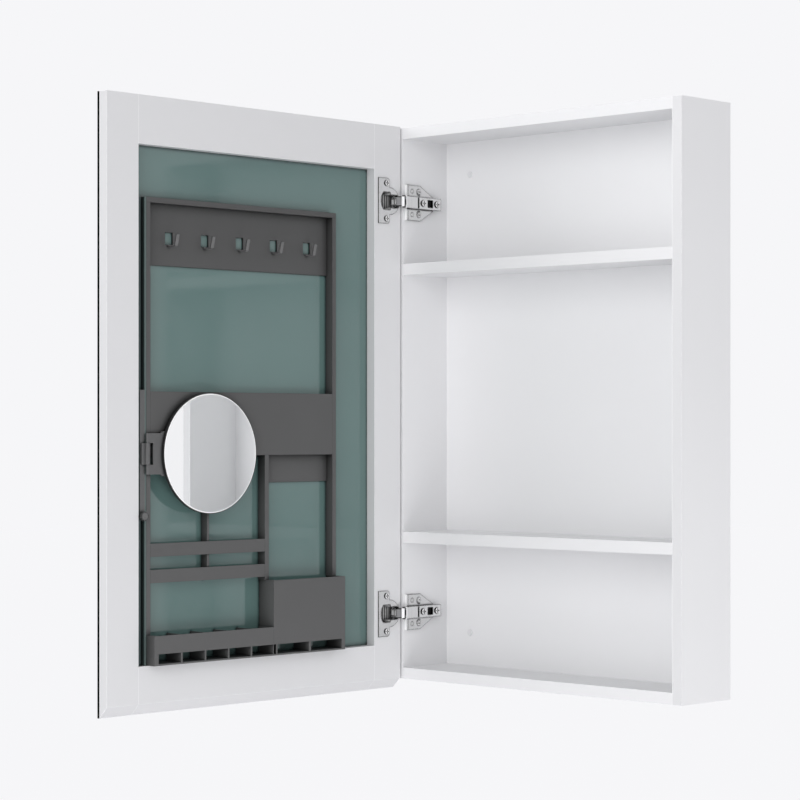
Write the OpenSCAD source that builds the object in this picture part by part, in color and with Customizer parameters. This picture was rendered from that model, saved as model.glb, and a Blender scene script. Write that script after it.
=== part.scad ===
// Wall-mounted mirror cabinet with one door, shown with the door open at a right angle.
// The origin is the middle of the wall face: X runs right, Y runs into the wall, Z runs up.
// Door pieces are drawn on the closed door and then swung open about the hinge axis.
// On the door, X is measured from its hinge-side edge, and Y is 0 on its back face.

/* [Cabinet body] */
// Width over both side panels
cabinet_width = 500; // [470:5:640]
// Height of the side panels
cabinet_height = 750; // [740:5:900]
// Depth from the wall to the front edges
cabinet_depth = 98; // [90:1:140]
// Thickness of the side, top, bottom and shelf boards
board = 15; // [14.5:0.5:18]
// Thickness of the back panel
back_thick = 12; // [8:1:18]
// Clear height between the two shelves
middle_bay = 350; // [320:5:380]
// Sideways distance between the wall screws
wall_screw_span = 380; // [300:5:430]
// Upright distance between the wall screws
wall_screw_rise = 630; // [560:5:690]
// Diameter of the wall screw holes
wall_hole_d = 5; // [4:0.5:7]
// Diameter of the cap over each wall screw
cap_d = 9; // [8:0.5:14]

/* [Door] */
// Thickness of the door frame
frame_thick = 14.2; // [14:0.2:20]
// Thickness of the mirror glass
glass_thick = 4; // [3:0.5:6]
// Width of each stile
stile_w = 49; // [46:1:70]
// Height of the top rail
top_rail_h = 60.7; // [50:0.1:90]
// Height of the bottom rail on its back face
bottom_rail_h = 46.4; // [42:0.1:80]
// Height of the door above the cabinet top
door_lift = 1.6; // [0:0.2:3]
// Gap between the closed door and the cabinet
door_gap = 3; // [3:0.1:4]
// Reach of the closed door past the right side panel
door_overhang = 1.8; // [0:0.1:3]

/* [Hinges] */
// Distance from each end of the mirror to the hinge beside it
hinge_inset = 102.5; // [90:0.5:130]
// Diameter of the hinge cup
cup_d = 35; // [35:0.5:37]
// Depth of the hinge cup
cup_depth = 12.4; // [12.2:0.1:13]
// Distance between the two screws of a cup
cup_screw_pitch = 48; // [46:1:52]
// Height of the hinge mounting plate
plate_h = 48.5; // [44:0.5:56]
// Distance between the two screws of a mounting plate
plate_screw_pitch = 32; // [28:1:36]
// Height of the hinge arm
arm_h = 16.6; // [16.2:0.2:18.6]

/* [Door tidy] */
// Width of the tidy
tidy_w = 320.5; // [300:0.5:335]
// Gap between the tidy and the top rail
tidy_top_gap = 64.4; // [40:0.2:90]
// Width of the members of its outer frame
member = 6.5; // [5:0.5:9]
// Thickness of its plates and bands
plate_t = 2; // [1.6:0.2:2.6]
// Height of the hook panel
hook_panel_h = 76.5; // [70:0.5:90]
// Width of each hook
hook_w = 5.8; // [4:0.1:10]
// Distance from one hook to the next
hook_pitch = 58.2; // [50:0.1:60]
// Height of the wide band of the middle pocket
band_h = 80.2; // [60:0.1:90]
// Height of each slim band
slim_h = 16.5; // [10:0.5:18]
// Reach of the tray and the side pocket behind the door frame
tray_reach = 14; // [10:0.5:18]
// Height of the tray
tray_h = 36.8; // [30:0.2:50]
// Height of the side pocket
pocket_h = 96.8; // [80:0.2:110]
// Width of the side pocket
pocket_w = 126.4; // [100:0.1:130]

/* [Magnifying mirror] */
// Diameter of the magnifying mirror
magnifier_d = 152; // [120:1:156]
// Distance from the swing pin to the middle of the mirror
magnifier_reach = 97.2; // [90:0.1:105]
// Width of the slide rail
rail_w = 13.5; // [12:0.1:14.5]
// Length of the slider bar
slider_len = 157.5; // [120:0.5:170]
// Height of the bracket plate
bracket_h = 50.6; // [44:0.2:60]
// Diameter of the clamping knob
knob_d = 11.6; // [8:0.1:12]

/* [Hidden] */
$fn = 64;

// Colours
foil = [0.87, 0.875, 0.885];
foil_inside = [0.82, 0.825, 0.835];
tidy_grey = [0.38, 0.38, 0.39];
dark_grey = [0.27, 0.28, 0.29];
nickel = [0.75, 0.74, 0.72];
link_steel = [0.35, 0.35, 0.36];
beech = [0.78, 0.63, 0.45];
silver = [0.72, 0.77, 0.78];

// Cabinet body
half_w = cabinet_width / 2;
half_h = cabinet_height / 2;
inner_half_w = half_w - board;
inner_half_h = half_h - board;
front_y = -cabinet_depth;
dowel_r = 4;
dowel_in_side = 10;
dowel_in_board = 18;
dowel_inset = 22;
shelf_z = middle_bay / 2 + board / 2;
cap_rim_h = 1.2;
cap_crown = 1;

// Door outline, in heights above the middle of the cabinet
door_top = half_h + door_lift;
door_bottom = -half_h + door_lift;
mirror_bottom = door_bottom - frame_thick;
opening_top = door_top - top_rail_h;
opening_bottom = door_bottom + bottom_rail_h;
door_w = cabinet_width + door_overhang;
free_stile_x = door_w - stile_w;
frame_dowel_r = 3;
frame_dowel_half = 15;

// Hinge geometry in plan: X from the outer face of the left panel, Y from the cabinet front.
// The door turns about hinge_axis, and the links pivot on the pins of the arm and of the cup.
hinge_axis = [board - 8.4, -9.8];
outer_pin = [board + 9, -7];
inner_pin = [board + 4.7, -0.6];
outer_cup_pin_from_axis = 5.2;
inner_cup_pin_from_axis = 2.33;
outer_bearing = atan2(outer_pin[1] - hinge_axis[1], outer_pin[0] - hinge_axis[0]);
inner_bearing = atan2(inner_pin[1] - hinge_axis[1], inner_pin[0] - hinge_axis[0]);
outer_cup_pin_closed = polar(hinge_axis, outer_cup_pin_from_axis, outer_bearing + 45);
outer_cup_pin_open = polar(hinge_axis, outer_cup_pin_from_axis, outer_bearing - 45);
inner_cup_pin_closed = polar(hinge_axis, inner_cup_pin_from_axis, inner_bearing + 225);
inner_cup_pin_open = polar(hinge_axis, inner_cup_pin_from_axis, inner_bearing + 135);
hinge_zs = [door_top - hinge_inset, mirror_bottom + hinge_inset];
pin_r = 1;
arm_pin_r = 1.2;
pin_play = 0.05;
link_t = 1.6;
link_gap = 0.4;
toe_cut = 0.6;
link_eye_r = 2;
inner_link_half = 3.6;
outer_link_half = arm_h / 2 - 1.6;
cheek_t = 1.2;
link_cut_back = 40;
outer_eye_r = 2.5;
inner_eye_r = 1.55;

// Hinge plate and arm, in distances from the inner face of the side panel and the cabinet front
plate_front = 4.6;
plate_taper_start = 32;
plate_end = 57;
plate_base_t = 2;
plate_lip_gap = 0.3;
plate_lip_w = 3.4;
plate_lip_rise = 1.5;
plate_pocket = 1.2;
plate_pocket_r = 3.6;
plate_pocket_play = 2.2;
plate_ring_y = 16.2;
plate_ring = [2.3, 3.2];
plate_ring_deep = 0.3;
ridge_half = 5.6;
ridge_top = 5.6;
ridge_start = 11;
ridge_end = 62;
arm_top = 8;
arm_under = 2.2;
arm_end = 66.6;
arm_sheet = 1.2;
plate_screw_y = 28.8;
clamp_screw_y = 32;
adjust_screw_y = 58.5;
square_hole_y = 45.6;
square_hole = 10;
arm_slot_y = 21.8;
arm_slot_w = 2.2;

// Hinge cup, in door distances
cup_x = board + 6;
cup_r = cup_d / 2;
cup_wall = 0.6;
eye_window_top = -6.3;
cavity_half = 12;
cavity_end = cup_x + cup_r - 0.8;
cavity_start = cup_x - 1;
throat_half = arm_h / 2 + 0.5;
flange_t = 1.2;
flange_rim = 1;
flange_x0 = cup_x + 0.5;
flange_x1 = cup_x + 21.4;
flange_half = cup_screw_pitch / 2 + 7;
flange_corner = 4.5;
cup_screw_x = cup_x + 6;
cup_screw_r = 1.8;
spring_half = 7;
spring_t = 1;
spring_x0 = 3;
spring_x1 = 14;
spring_lean = 0.6;
spring_lip = 3;
crown_x0 = 6;
crown_x1 = 8;
crown_top = 2.6;

// Door tidy
tidy_x1 = free_stile_x - rail_w;
tidy_x0 = tidy_x1 - tidy_w;
tidy_inner_x0 = tidy_x0 + member;
tidy_inner_x1 = tidy_x1 - member;
tidy_foot_gap = 0.5;
tidy_z0 = opening_bottom + tidy_foot_gap;
tidy_z1 = opening_top - tidy_top_gap;
tidy_front = 1.6;
tray_top = tidy_z0 + tray_h;
pocket_top = tidy_z0 + pocket_h;
hook_panel_z1 = tidy_z1 - member;
hook_panel_z0 = hook_panel_z1 - hook_panel_h;
hook_lift = 24;
hook_z = hook_panel_z0 + hook_lift;
hook_rise = 15.5;
hook_reach = 18.7;
hook_lean = 4;
hook_slot_play = 3.35;
hook_slot_h = 16;
hook_count = 5;
hook_first_gap = 36.9;
hook_first_x = tidy_inner_x0 + hook_first_gap;
hook_slot_half = hook_w / 2 + hook_slot_play;
band_rise = 338;
band_top = tidy_z0 + band_rise;
band_bottom = band_top - band_h;
back_plate_drop = 35.1;
divider_w = 6.9;
divider_reach = 125.7;
divider_x1 = tidy_x0 + divider_reach;
divider_x0 = divider_x1 - divider_w;
upper_slim_drop = 107.8;
slim_pitch = 32.5;
upper_slim_z1 = band_bottom - upper_slim_drop;
lower_slim_z1 = upper_slim_z1 - slim_pitch;
small_divider_reach = 219.6;
small_divider_x = tidy_x0 + small_divider_reach;
small_divider_t = 3.5;
pocket_overhang = 2.1;
pocket_x0 = tidy_x0 - pocket_overhang;
pocket_x1 = pocket_x0 + pocket_w;
tray_x0 = pocket_x1;
tray_x1 = tidy_x1;
tray_wall = 2;
window_bottom = tidy_z0 + tray_wall;
window_h = 12.2;
tray_cells = 5;
tray_end_w = 6.9;
tray_start_w = 1.2;
tray_post = 2.7;
pocket_cells = 2;
pocket_start_w = 6.4;
pocket_end_w = 6.4;
pocket_slit_w = 4.1;
pocket_post = 4;

// Slide rail, slider and magnifying mirror
rail_x0 = tidy_x1;
rail_mid = rail_x0 + rail_w / 2;
mouth_w = 7.9;
lip_t = 1.4;
groove_w = 10;
groove_floor = tidy_front + 5.4;
slide_play = 0.3;
magnifier_rise = 260.9;
magnifier_z = tidy_z0 + magnifier_rise;
slider_z0 = magnifier_z - slider_len / 2;
slider_z1 = magnifier_z + slider_len / 2;
slider_face = 1;
neck_x0 = rail_mid - mouth_w / 2 + slide_play;
swing_x = rail_x0 + 0.9;
swing_y = 1.5;
swing_r = 2;
clasp_play = 0.3;
clasp_t = 1.3;
clasp_half = 13;
slot_x0 = swing_x - 7.8;
bracket_t = 4;
bracket_neck = 21;
bracket_flare = 2.5;
knob_z = slider_z0 + 2;
knob_h = 5.6;
knob_stem_r = 1.5;
stem_end = knob_h - slider_face - 1.6;
magnifier_x = swing_x - magnifier_reach;
holder_t = 1.8;
holder_rim = 0.8;
glass_play = 0.05;
glass_proud = 0.5;
magnifier_glass_t = 2.7;
glass_bevel = 0.5;
glass_r = magnifier_d / 2 - holder_rim;

// A point at radius r and angle a from point c
function polar(c, r, a) = [c[0] + r * cos(a), c[1] + r * sin(a)];

// A vector of length 1 along v
function unit(v) = v / norm(v);

// The vector v turned a quarter turn
function square_to(v) = [-v[1], v[0]];

// One side of a bent strip whose middle runs through the points, with a mitre at each bend.
function strip_side(points, off) = [
    for (n = [0 : len(points) - 1])
        let (
            before = unit(points[max(n, 1)] - points[max(n, 1) - 1]),
            after = unit(points[min(n + 1, len(points) - 1)] - points[min(n, len(points) - 2)]),
            mitre = unit(square_to(before + after))
        )
        points[n] + mitre * off / (mitre * square_to(before))
];

// Points of a circle of radius r about point c, from one angle to another
function arc(c, r, from, to, steps = 8) = [
    for (n = [0 : steps])
        polar(c, r, from + (to - from) * n / steps)
];

// The outside of a link's eye about c, left open where a strip of half width h leaves towards p.
function eye_arc(c, r, p, h) = arc(
    c,
    r,
    atan2(p[1] - c[1], p[0] - c[0]) + asin(h / r),
    atan2(p[1] - c[1], p[0] - c[0]) + 360 - asin(h / r),
    20
);

// A box between two corners
module box(low, high) {
    translate(low) cube(high - low);
}

// An outline drawn in Y and Z, run along X from x0 to x1
module along_x(x0, x1) {
    translate([x0, 0, 0]) rotate([90, 0, 90]) linear_extrude(x1 - x0) children();
}

// A bar with round section along X
module rod_x(x0, x1, r) {
    translate([x0, 0, 0]) rotate([0, 90, 0]) cylinder(h = x1 - x0, r = r);
}

// A bar with round section along Y
module rod_y(y0, y1, r) {
    translate([0, y1, 0]) rotate([90, 0, 0]) cylinder(h = y1 - y0, r = r);
}

// A flat link seen in plan: a bent strip with a round eye at each end.
module plan_link(points, start_r, end_r) {
    last = len(points) - 1;
    left = strip_side(points, link_t / 2);
    right = strip_side(points, -link_t / 2);
    polygon(concat(
        eye_arc(points[0], start_r, points[1], link_t / 2),
        [for (n = [1 : last - 1]) right[n]],
        eye_arc(points[last], end_r, points[last - 1], link_t / 2),
        [for (n = [last - 1 : -1 : 1]) left[n]]
    ));
}

// An outline drawn in plan, as tall as twice half
module plan_plate(half) {
    translate([0, 0, -half]) linear_extrude(2 * half) children();
}

// Places plan-drawn hinge pieces at the front corner of the left panel
module at_hinge(z) {
    translate([-half_w, front_y, z]) children();
}

// Swings pieces of the closed door open about the hinge axis
module open_door() {
    translate([-half_w + hinge_axis[0], front_y + hinge_axis[1], 0]) rotate([0, 0, -90])
        translate([-hinge_axis[0], -door_gap - hinge_axis[1], 0]) children();
}

// Cabinet body

module board_dowel_at(side, z) {
    for (y = [front_y + dowel_inset, -dowel_inset])
        translate([side * inner_half_w, y, z]) rod_x(-dowel_in_side, dowel_in_board, dowel_r);
}

module dowel_rows() {
    for (z = [-half_h + board / 2, -shelf_z, shelf_z, half_h - board / 2]) {
        board_dowel_at(-1, z);
        mirror([1, 0, 0]) board_dowel_at(-1, z);
    }
}

module side_panel(side) {
    x0 = side < 0 ? -half_w : inner_half_w;
    difference() {
        box([x0, front_y, -half_h], [x0 + board, 0, half_h]);
        dowel_rows();
        if (side < 0) plate_screw_shanks();
    }
}

module cross_board(z, rear) {
    difference() {
        box([-inner_half_w, front_y, z - board / 2], [inner_half_w, rear, z + board / 2]);
        dowel_rows();
    }
}

module left_side_panel() color(foil) side_panel(-1);

module right_side_panel() color(foil) side_panel(1);

module top_panel() color(foil) cross_board(half_h - board / 2, 0);

module bottom_panel() color(foil) cross_board(-half_h + board / 2, 0);

module upper_shelf() color(foil) cross_board(shelf_z, -back_thick);

module lower_shelf() color(foil) cross_board(-shelf_z, -back_thick);

module back_panel() color(foil_inside) difference() {
    box([-inner_half_w, -back_thick, -inner_half_h], [inner_half_w, 0, inner_half_h]);
    dowel_rows();
    wall_screw_places() rod_y(-back_thick - 1, 1, wall_hole_d / 2);
}

module board_dowels() color(beech) dowel_rows();

module wall_screw_places() {
    for (x = [-wall_screw_span / 2, wall_screw_span / 2])
        for (z = [-wall_screw_rise / 2, wall_screw_rise / 2])
            translate([x, 0, z]) children();
}

module wall_screw_caps() color(foil) wall_screw_places() translate([0, -back_thick, 0]) {
    rod_y(-cap_rim_h, 0, cap_d / 2);
    translate([0, -cap_rim_h, 0]) rotate([90, 0, 0])
        cylinder(h = cap_crown, r1 = cap_d / 2, r2 = cap_d / 2 - cap_crown);
}

// Hinges: plates and arms on the left panel

module plate_screw_places() {
    for (z = hinge_zs)
        for (dz = [-plate_screw_pitch / 2, plate_screw_pitch / 2])
            at_hinge(z + dz) translate([board, plate_screw_y, 0]) children();
}

module plate_screw_shanks() {
    plate_screw_places() rod_x(-board + 4, plate_base_t, 1.8);
}

// An oblong pocket in a mounting plate, longer than the screw head that lies in it
module screw_pocket() {
    low = plate_base_t - plate_pocket;
    high = plate_base_t + 1;
    half_play = plate_pocket_play / 2;
    for (dz = [-half_play, half_play])
        translate([0, 0, dz]) rod_x(low, high, plate_pocket_r);
    box([low, -plate_pocket_r, -half_play], [high, plate_pocket_r, half_play]);
}

module hinge_plate(z) color(nickel) {
    half = plate_h / 2;
    difference() {
        at_hinge(z) translate([board, 0, 0]) {
            along_x(0, plate_base_t) polygon([
                [plate_front, -half], [plate_taper_start, -half], [plate_end, -arm_h / 2 - 1],
                [plate_end, arm_h / 2 + 1], [plate_taper_start, half], [plate_front, half]
            ]);
            box([0, ridge_start, -ridge_half], [ridge_top, ridge_end, ridge_half]);
            for (low = [-half, arm_h / 2 + plate_lip_gap])
                box([plate_base_t, plate_front, low], [
                    plate_base_t + plate_lip_rise, plate_front + plate_lip_w,
                    low + half - arm_h / 2 - plate_lip_gap
                ]);
        }
        plate_screw_shanks();
        for (side = [-1, 1])
            at_hinge(z + side * plate_screw_pitch / 2) {
                translate([board, plate_screw_y, -side * plate_pocket_play / 2]) screw_pocket();
                translate([board, plate_ring_y, 0]) difference() {
                    rod_x(plate_base_t - plate_ring_deep, plate_base_t + 1, plate_ring[1]);
                    rod_x(0, plate_base_t + 2, plate_ring[0]);
                }
            }
        arm_screw_shanks();
    }
}

module hinge_plate_screws() color(nickel) {
    plate_screw_shanks();
    plate_screw_places() translate([plate_base_t - plate_pocket, 0, 0]) difference() {
        rod_x(0, 1.7, 3.4);
        box([0.9, -0.5, -2.4], [2, 0.5, 2.4]);
        box([0.9, -2.4, -0.5], [2, 2.4, 0.5]);
    }
}

module arm_screw_at(y) {
    for (z = hinge_zs)
        at_hinge(z) translate([board, y, 0]) children();
}

module arm_screw_shanks() {
    arm_screw_at(clamp_screw_y) rod_x(plate_base_t, arm_top, 2);
    arm_screw_at(adjust_screw_y) rod_x(plate_base_t, arm_top, 1.5);
}

module hinge_arm_screws() color(nickel) {
    arm_screw_shanks();
    for (y = [clamp_screw_y, adjust_screw_y])
        arm_screw_at(y) translate([arm_top, 0, 0]) difference() {
            rod_x(0, 1.6, 4.3);
            box([0.7, -0.7, -3], [2, 0.7, 3]);
            box([0.7, -3, -0.7], [2, 3, 0.7]);
        }
}

// The arm in plan: it lies along the panel, and its nose goes round the two link pins
module arm_outline() {
    polygon(concat(
        [[board + arm_under, arm_end], [board + arm_top, arm_end], [board + arm_top, 9]],
        arc(outer_pin, 2.2, 10, -150),
        arc(inner_pin, 2.1, -130, -190),
        [[board + arm_under, 8]]
    ));
}

module arm_pins() {
    translate([outer_pin[0], outer_pin[1], -arm_h / 2]) cylinder(h = arm_h, r = arm_pin_r);
    translate([inner_pin[0], inner_pin[1], -arm_h / 2]) cylinder(h = arm_h, r = pin_r);
}

module hinge_arm(z) color(nickel) difference() {
    at_hinge(z) difference() {
        plan_plate(arm_h / 2) arm_outline();
        arm_pins();
        plan_plate(arm_h / 2 - cheek_t) polygon([
            [board, arm_end - arm_sheet], [board + arm_top - arm_sheet, arm_end - arm_sheet],
            [board + arm_top - arm_sheet, 9], [outer_pin[0] + 0.9, -3.2], [outer_pin[0] + 6, -3.2],
            [outer_pin[0] + 6, outer_pin[1] - 4], [board, outer_pin[1] - 4]
        ]);
        translate([board, square_hole_y, 0])
            box(
                [arm_top - 3, -square_hole / 2, -square_hole / 2],
                [arm_top + 1, square_hole / 2, square_hole / 2]
            );
        box(
            [board + arm_top - 3, arm_slot_y, -arm_h / 2 + cheek_t],
            [board + arm_top + 1, arm_slot_y + arm_slot_w, arm_h / 2 - cheek_t]
        );
    }
    arm_screw_shanks();
}

module hinge_arm_pins() color(nickel) {
    for (z = hinge_zs)
        at_hinge(z) arm_pins();
}

// Hinge links, drawn where they lie when the door is open

// The outer link is a bent channel: one web near the arm, and two cheeks past the heel,
// between which the inner link passes as the door shuts
module outer_link(z) color(link_steel) at_hinge(z) {
    elbow = outer_pin + [-1.2, -5.2];
    heel = outer_pin + [-4.4, -9.5];
    toe = outer_cup_pin_open + [1.5, -5.6];
    eye = outer_cup_pin_open + [0.7, 0.45];
    toe_start = toe + toe_cut * unit(heel - toe);
    toe_end = toe + toe_cut * unit(eye - toe);
    cheek_inside = inner_link_half + link_gap;
    cheek_outside = outer_link_half - 0.9;
    difference() {
        plan_plate(outer_link_half) difference() {
            plan_link([outer_pin, elbow, heel, toe_start, toe_end, eye], link_eye_r, outer_eye_r + 0.5);
            translate(outer_pin) circle(r = arm_pin_r + pin_play);
            translate(eye) circle(r = outer_eye_r);
        }
        for (cut = [[-arm_h, -cheek_outside], [-cheek_inside, cheek_inside], [cheek_outside, arm_h]])
            box([0, -link_cut_back, cut[0]], [heel[0] - link_t / 4, 0, cut[1]]);
    }
}

module inner_link(z) color(link_steel) at_hinge(z) {
    knee = inner_pin + [-1.4, -6.4];
    bend = inner_pin + [-4.1, -8.8];
    wrist = inner_pin + [-9.9, -9.6];
    eye = inner_cup_pin_open + [-0.2, -0.13];
    plan_plate(inner_link_half) difference() {
        plan_link([inner_pin, knee, bend, wrist, eye], link_eye_r, inner_eye_r + 0.45);
        translate(inner_pin) circle(r = pin_r + pin_play);
        translate(eye) circle(r = inner_eye_r);
    }
}

// Hinge cups in the door

// The outer link turns on two stub pins, which leave the middle free for the inner link
module cup_pins() {
    stub_end = cavity_half + 0.3;
    stub_start = inner_link_half + link_gap;
    inner_half = 7.5;
    for (z = [-stub_end, stub_start])
        translate([outer_cup_pin_closed[0], outer_cup_pin_closed[1] + door_gap, z])
            cylinder(h = stub_end - stub_start, r = pin_r);
    translate([inner_cup_pin_closed[0], inner_cup_pin_closed[1] + door_gap, -inner_half])
        cylinder(h = 2 * inner_half, r = pin_r - 0.1);
}

// A window in the cup's wall, in which the eye of the inner link turns
module eye_window() {
    half = inner_link_half + link_gap;
    box([0, -cup_depth + 0.5, -half], [cup_x - cup_r + 5, eye_window_top, half]);
}

module cup_screw_places() {
    for (z = hinge_zs)
        for (dz = [-cup_screw_pitch / 2, cup_screw_pitch / 2])
            translate([cup_screw_x, 0, z + dz]) children();
}

module cup_screw_shanks() {
    cup_screw_places() rod_y(-frame_thick + 3, flange_t, cup_screw_r);
}

module hinge_cup(z) color(nickel) open_door() difference() {
    translate([0, 0, z]) difference() {
        union() {
            translate([cup_x, 0, 0]) rod_y(-cup_depth, flange_t, cup_r);
            translate([cup_x, 0, 0]) rod_y(0, flange_t, cup_r + flange_rim);
            box([flange_x0 + flange_corner, 0, -flange_half], [flange_x1, flange_t, flange_half]);
            box(
                [flange_x0, 0, flange_corner - flange_half],
                [flange_x1, flange_t, flange_half - flange_corner]
            );
            for (side = [-1, 1])
                translate([flange_x0 + flange_corner, 0, side * (flange_half - flange_corner)])
                    rod_y(0, flange_t, flange_corner);
        }
        intersection() {
            translate([cup_x, 0, 0]) rod_y(-cup_depth + 0.5, flange_t + 1, cup_r - cup_wall);
            union() {
                box([cavity_start, -cup_depth, -cavity_half], [cavity_end, flange_t + 1, cavity_half]);
                box([0, -cup_depth, -throat_half], [cavity_start + 1, flange_t + 1, throat_half]);
            }
        }
        eye_window();
        cup_pins();
    }
    cup_screw_shanks();
}

module hinge_cup_screws() color(nickel) open_door() {
    cup_screw_shanks();
    cup_screw_places() translate([0, flange_t, 0]) difference() {
        rod_y(0, 1.4, 4);
        box([-0.6, 0.6, -2.8], [0.6, 2, 2.8]);
        box([-2.8, 0.6, -0.6], [2.8, 2, 0.6]);
    }
}

module hinge_cup_pins() color(nickel) open_door() {
    for (z = hinge_zs)
        translate([0, 0, z]) cup_pins();
}

// A bent leaf spring on the floor of each cup
module closing_springs() color(link_steel) open_door() {
    for (z = hinge_zs)
        translate([cup_x, -cup_depth + 0.5, z - spring_half]) linear_extrude(2 * spring_half) leaf_outline();
}

// The leaf rises to a crown in the middle and to a lip at its outer end
module leaf_outline() {
    polygon([
        [spring_x0, 0], [spring_x1, 0], [spring_x1 + spring_lean, spring_lip],
        [spring_x1 + spring_lean - spring_t, spring_lip], [spring_x1 - spring_t, spring_t],
        [crown_x1 + spring_t, spring_t], [crown_x1, crown_top], [crown_x0, crown_top],
        [crown_x0 - spring_t, spring_t], [spring_x0, spring_t]
    ]);
}

// Door frame and mirror

module frame_dowel_rows() {
    for (x = [stile_w, free_stile_x])
        for (z = [door_top - 15, opening_top + 15, opening_bottom - 13, opening_bottom - 33])
            translate([x, -frame_thick / 2, z]) rod_x(-frame_dowel_half, frame_dowel_half, frame_dowel_r);
}

module upright(x0, x1) {
    along_x(x0, x1) polygon([
        [0, door_top], [-frame_thick, door_top], [-frame_thick, mirror_bottom], [0, door_bottom]
    ]);
}

module hinge_stile() color(foil) open_door() difference() {
    upright(0, stile_w);
    frame_dowel_rows();
    for (z = hinge_zs)
        translate([cup_x, 0, z]) rod_y(-cup_depth, 1, cup_r);
    cup_screw_shanks();
}

module free_stile() color(foil) open_door() difference() {
    upright(free_stile_x, door_w);
    frame_dowel_rows();
}

module top_rail() color(foil) open_door() difference() {
    box([stile_w, -frame_thick, opening_top], [free_stile_x, 0, door_top]);
    frame_dowel_rows();
}

module bottom_rail() color(foil) open_door() difference() {
    along_x(stile_w, free_stile_x) polygon([
        [0, opening_bottom], [-frame_thick, opening_bottom], [-frame_thick, mirror_bottom], [0, door_bottom]
    ]);
    frame_dowel_rows();
}

module frame_dowels() color(beech) open_door() frame_dowel_rows();

module mirror_glass() color(silver) open_door()
    box([0, -frame_thick - glass_thick, mirror_bottom], [door_w, -frame_thick, door_top]);

// Door tidy, fixed to the back of the mirror

module tidy_bar(x0, x1, z0, z1) {
    box([x0, -frame_thick, z0], [x1, -tidy_front, z1]);
}

module tidy_band(x0, x1, z0, z1) {
    box([x0, -tidy_front - plate_t, z0], [x1, -tidy_front, z1]);
}

module tidy_top_member() color(tidy_grey) open_door()
    tidy_bar(tidy_x0, tidy_x1, hook_panel_z1, tidy_z1);

module tidy_hinge_side_member() color(tidy_grey) open_door()
    tidy_bar(tidy_x0, tidy_inner_x0, pocket_top, hook_panel_z1);

module tidy_free_side_member() color(tidy_grey) open_door()
    tidy_bar(tidy_inner_x1, tidy_x1, tray_top, hook_panel_z1);

module hook_panel() color(tidy_grey) open_door() difference() {
    box(
        [tidy_inner_x0, -frame_thick, hook_panel_z0],
        [tidy_inner_x1, -frame_thick + plate_t, hook_panel_z1]
    );
    for (n = [0 : hook_count - 1])
        translate([hook_x(n), 0, hook_z + plate_t])
            box([-hook_slot_half, -frame_thick - 1, 0], [hook_slot_half, 0, hook_slot_h]);
}

// Middle of one hook, counted from the hinge side
function hook_x(n) = hook_first_x + n * hook_pitch;

// A foot that leaves the panel under its slot, and a prong that leans away from it
module hook(n) color(tidy_grey) open_door() {
    root_y = -frame_thick + plate_t;
    bend_y = root_y + hook_reach - hook_lean;
    tip_y = root_y + hook_reach;
    tip_z = hook_z + hook_rise;
    crook_y = bend_y - plate_t + hook_lean * plate_t / hook_rise;
    along_x(hook_x(n) - hook_w / 2, hook_x(n) + hook_w / 2) polygon([
        [root_y, hook_z], [bend_y, hook_z], [tip_y, tip_z], [tip_y - plate_t, tip_z],
        [crook_y, hook_z + plate_t], [root_y, hook_z + plate_t]
    ]);
}

module hook_1() hook(0);

module hook_2() hook(1);

module hook_3() hook(2);

module hook_4() hook(3);

module hook_5() hook(4);

module middle_pocket_band() color(tidy_grey) open_door()
    tidy_band(tidy_inner_x0, tidy_inner_x1, band_bottom, band_top);

module middle_pocket_floor() color(tidy_grey) open_door()
    box(
        [tidy_inner_x0, -frame_thick, band_bottom],
        [tidy_inner_x1, -tidy_front - plate_t, band_bottom + plate_t]
    );

module back_plate() color(tidy_grey) open_door()
    box([tidy_inner_x0, -frame_thick, band_bottom - back_plate_drop],
        [divider_x0, -frame_thick + plate_t, band_bottom]);

module upright_divider() color(tidy_grey) open_door()
    tidy_bar(divider_x0, divider_x1, pocket_top, band_bottom);

module upper_slim_band() color(tidy_grey) open_door()
    tidy_band(divider_x1, tidy_inner_x1, upper_slim_z1 - slim_h, upper_slim_z1);

module lower_slim_band() color(tidy_grey) open_door()
    tidy_band(divider_x1, tidy_inner_x1, lower_slim_z1 - slim_h, lower_slim_z1);

module small_divider() color(tidy_grey) open_door()
    box([small_divider_x - small_divider_t / 2, -frame_thick, lower_slim_z1 - slim_h],
        [small_divider_x + small_divider_t / 2, -tidy_front - plate_t, band_bottom]);

// A windowed box that is open at the top, with cross walls between its windows
module windowed_box(x0, x1, z1, start_w, end_w, cells, post, inner_top) {
    cell = (x1 - x0 - start_w - end_w - (cells - 1) * post) / cells;
    difference() {
        box([x0, -frame_thick, tidy_z0], [x1, tray_reach, z1]);
        difference() {
            box(
                [x0 + start_w, -frame_thick - 1, window_bottom],
                [x1 - end_w, tray_reach - tray_wall, z1 + 1]
            );
            for (n = [1 : cells - 1])
                box([x0 + start_w + n * (cell + post) - post, -frame_thick - 2, tidy_z0],
                    [x0 + start_w + n * (cell + post), tray_reach, inner_top]);
        }
        for (n = [0 : cells - 1])
            box([x0 + start_w + n * (cell + post), 0, window_bottom],
                [x0 + start_w + n * (cell + post) + cell, tray_reach + 1, window_bottom + window_h]);
    }
}

// The pocket's end wall is hollow beside the tray, behind a narrow slit between their windows
module side_pocket() color(tidy_grey) open_door() difference() {
    windowed_box(
        pocket_x0, pocket_x1, pocket_top, pocket_start_w, pocket_end_w,
        pocket_cells, pocket_post, tray_top
    );
    box([pocket_x1 - pocket_slit_w, 0, window_bottom],
        [pocket_x1 + 1, tray_reach + 1, window_bottom + window_h]);
}

module tray() color(tidy_grey) open_door()
    windowed_box(tray_x0, tray_x1, tray_top, tray_start_w, tray_end_w, tray_cells, tray_post, tray_top);

// Slide rail, slider and magnifying mirror

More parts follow.
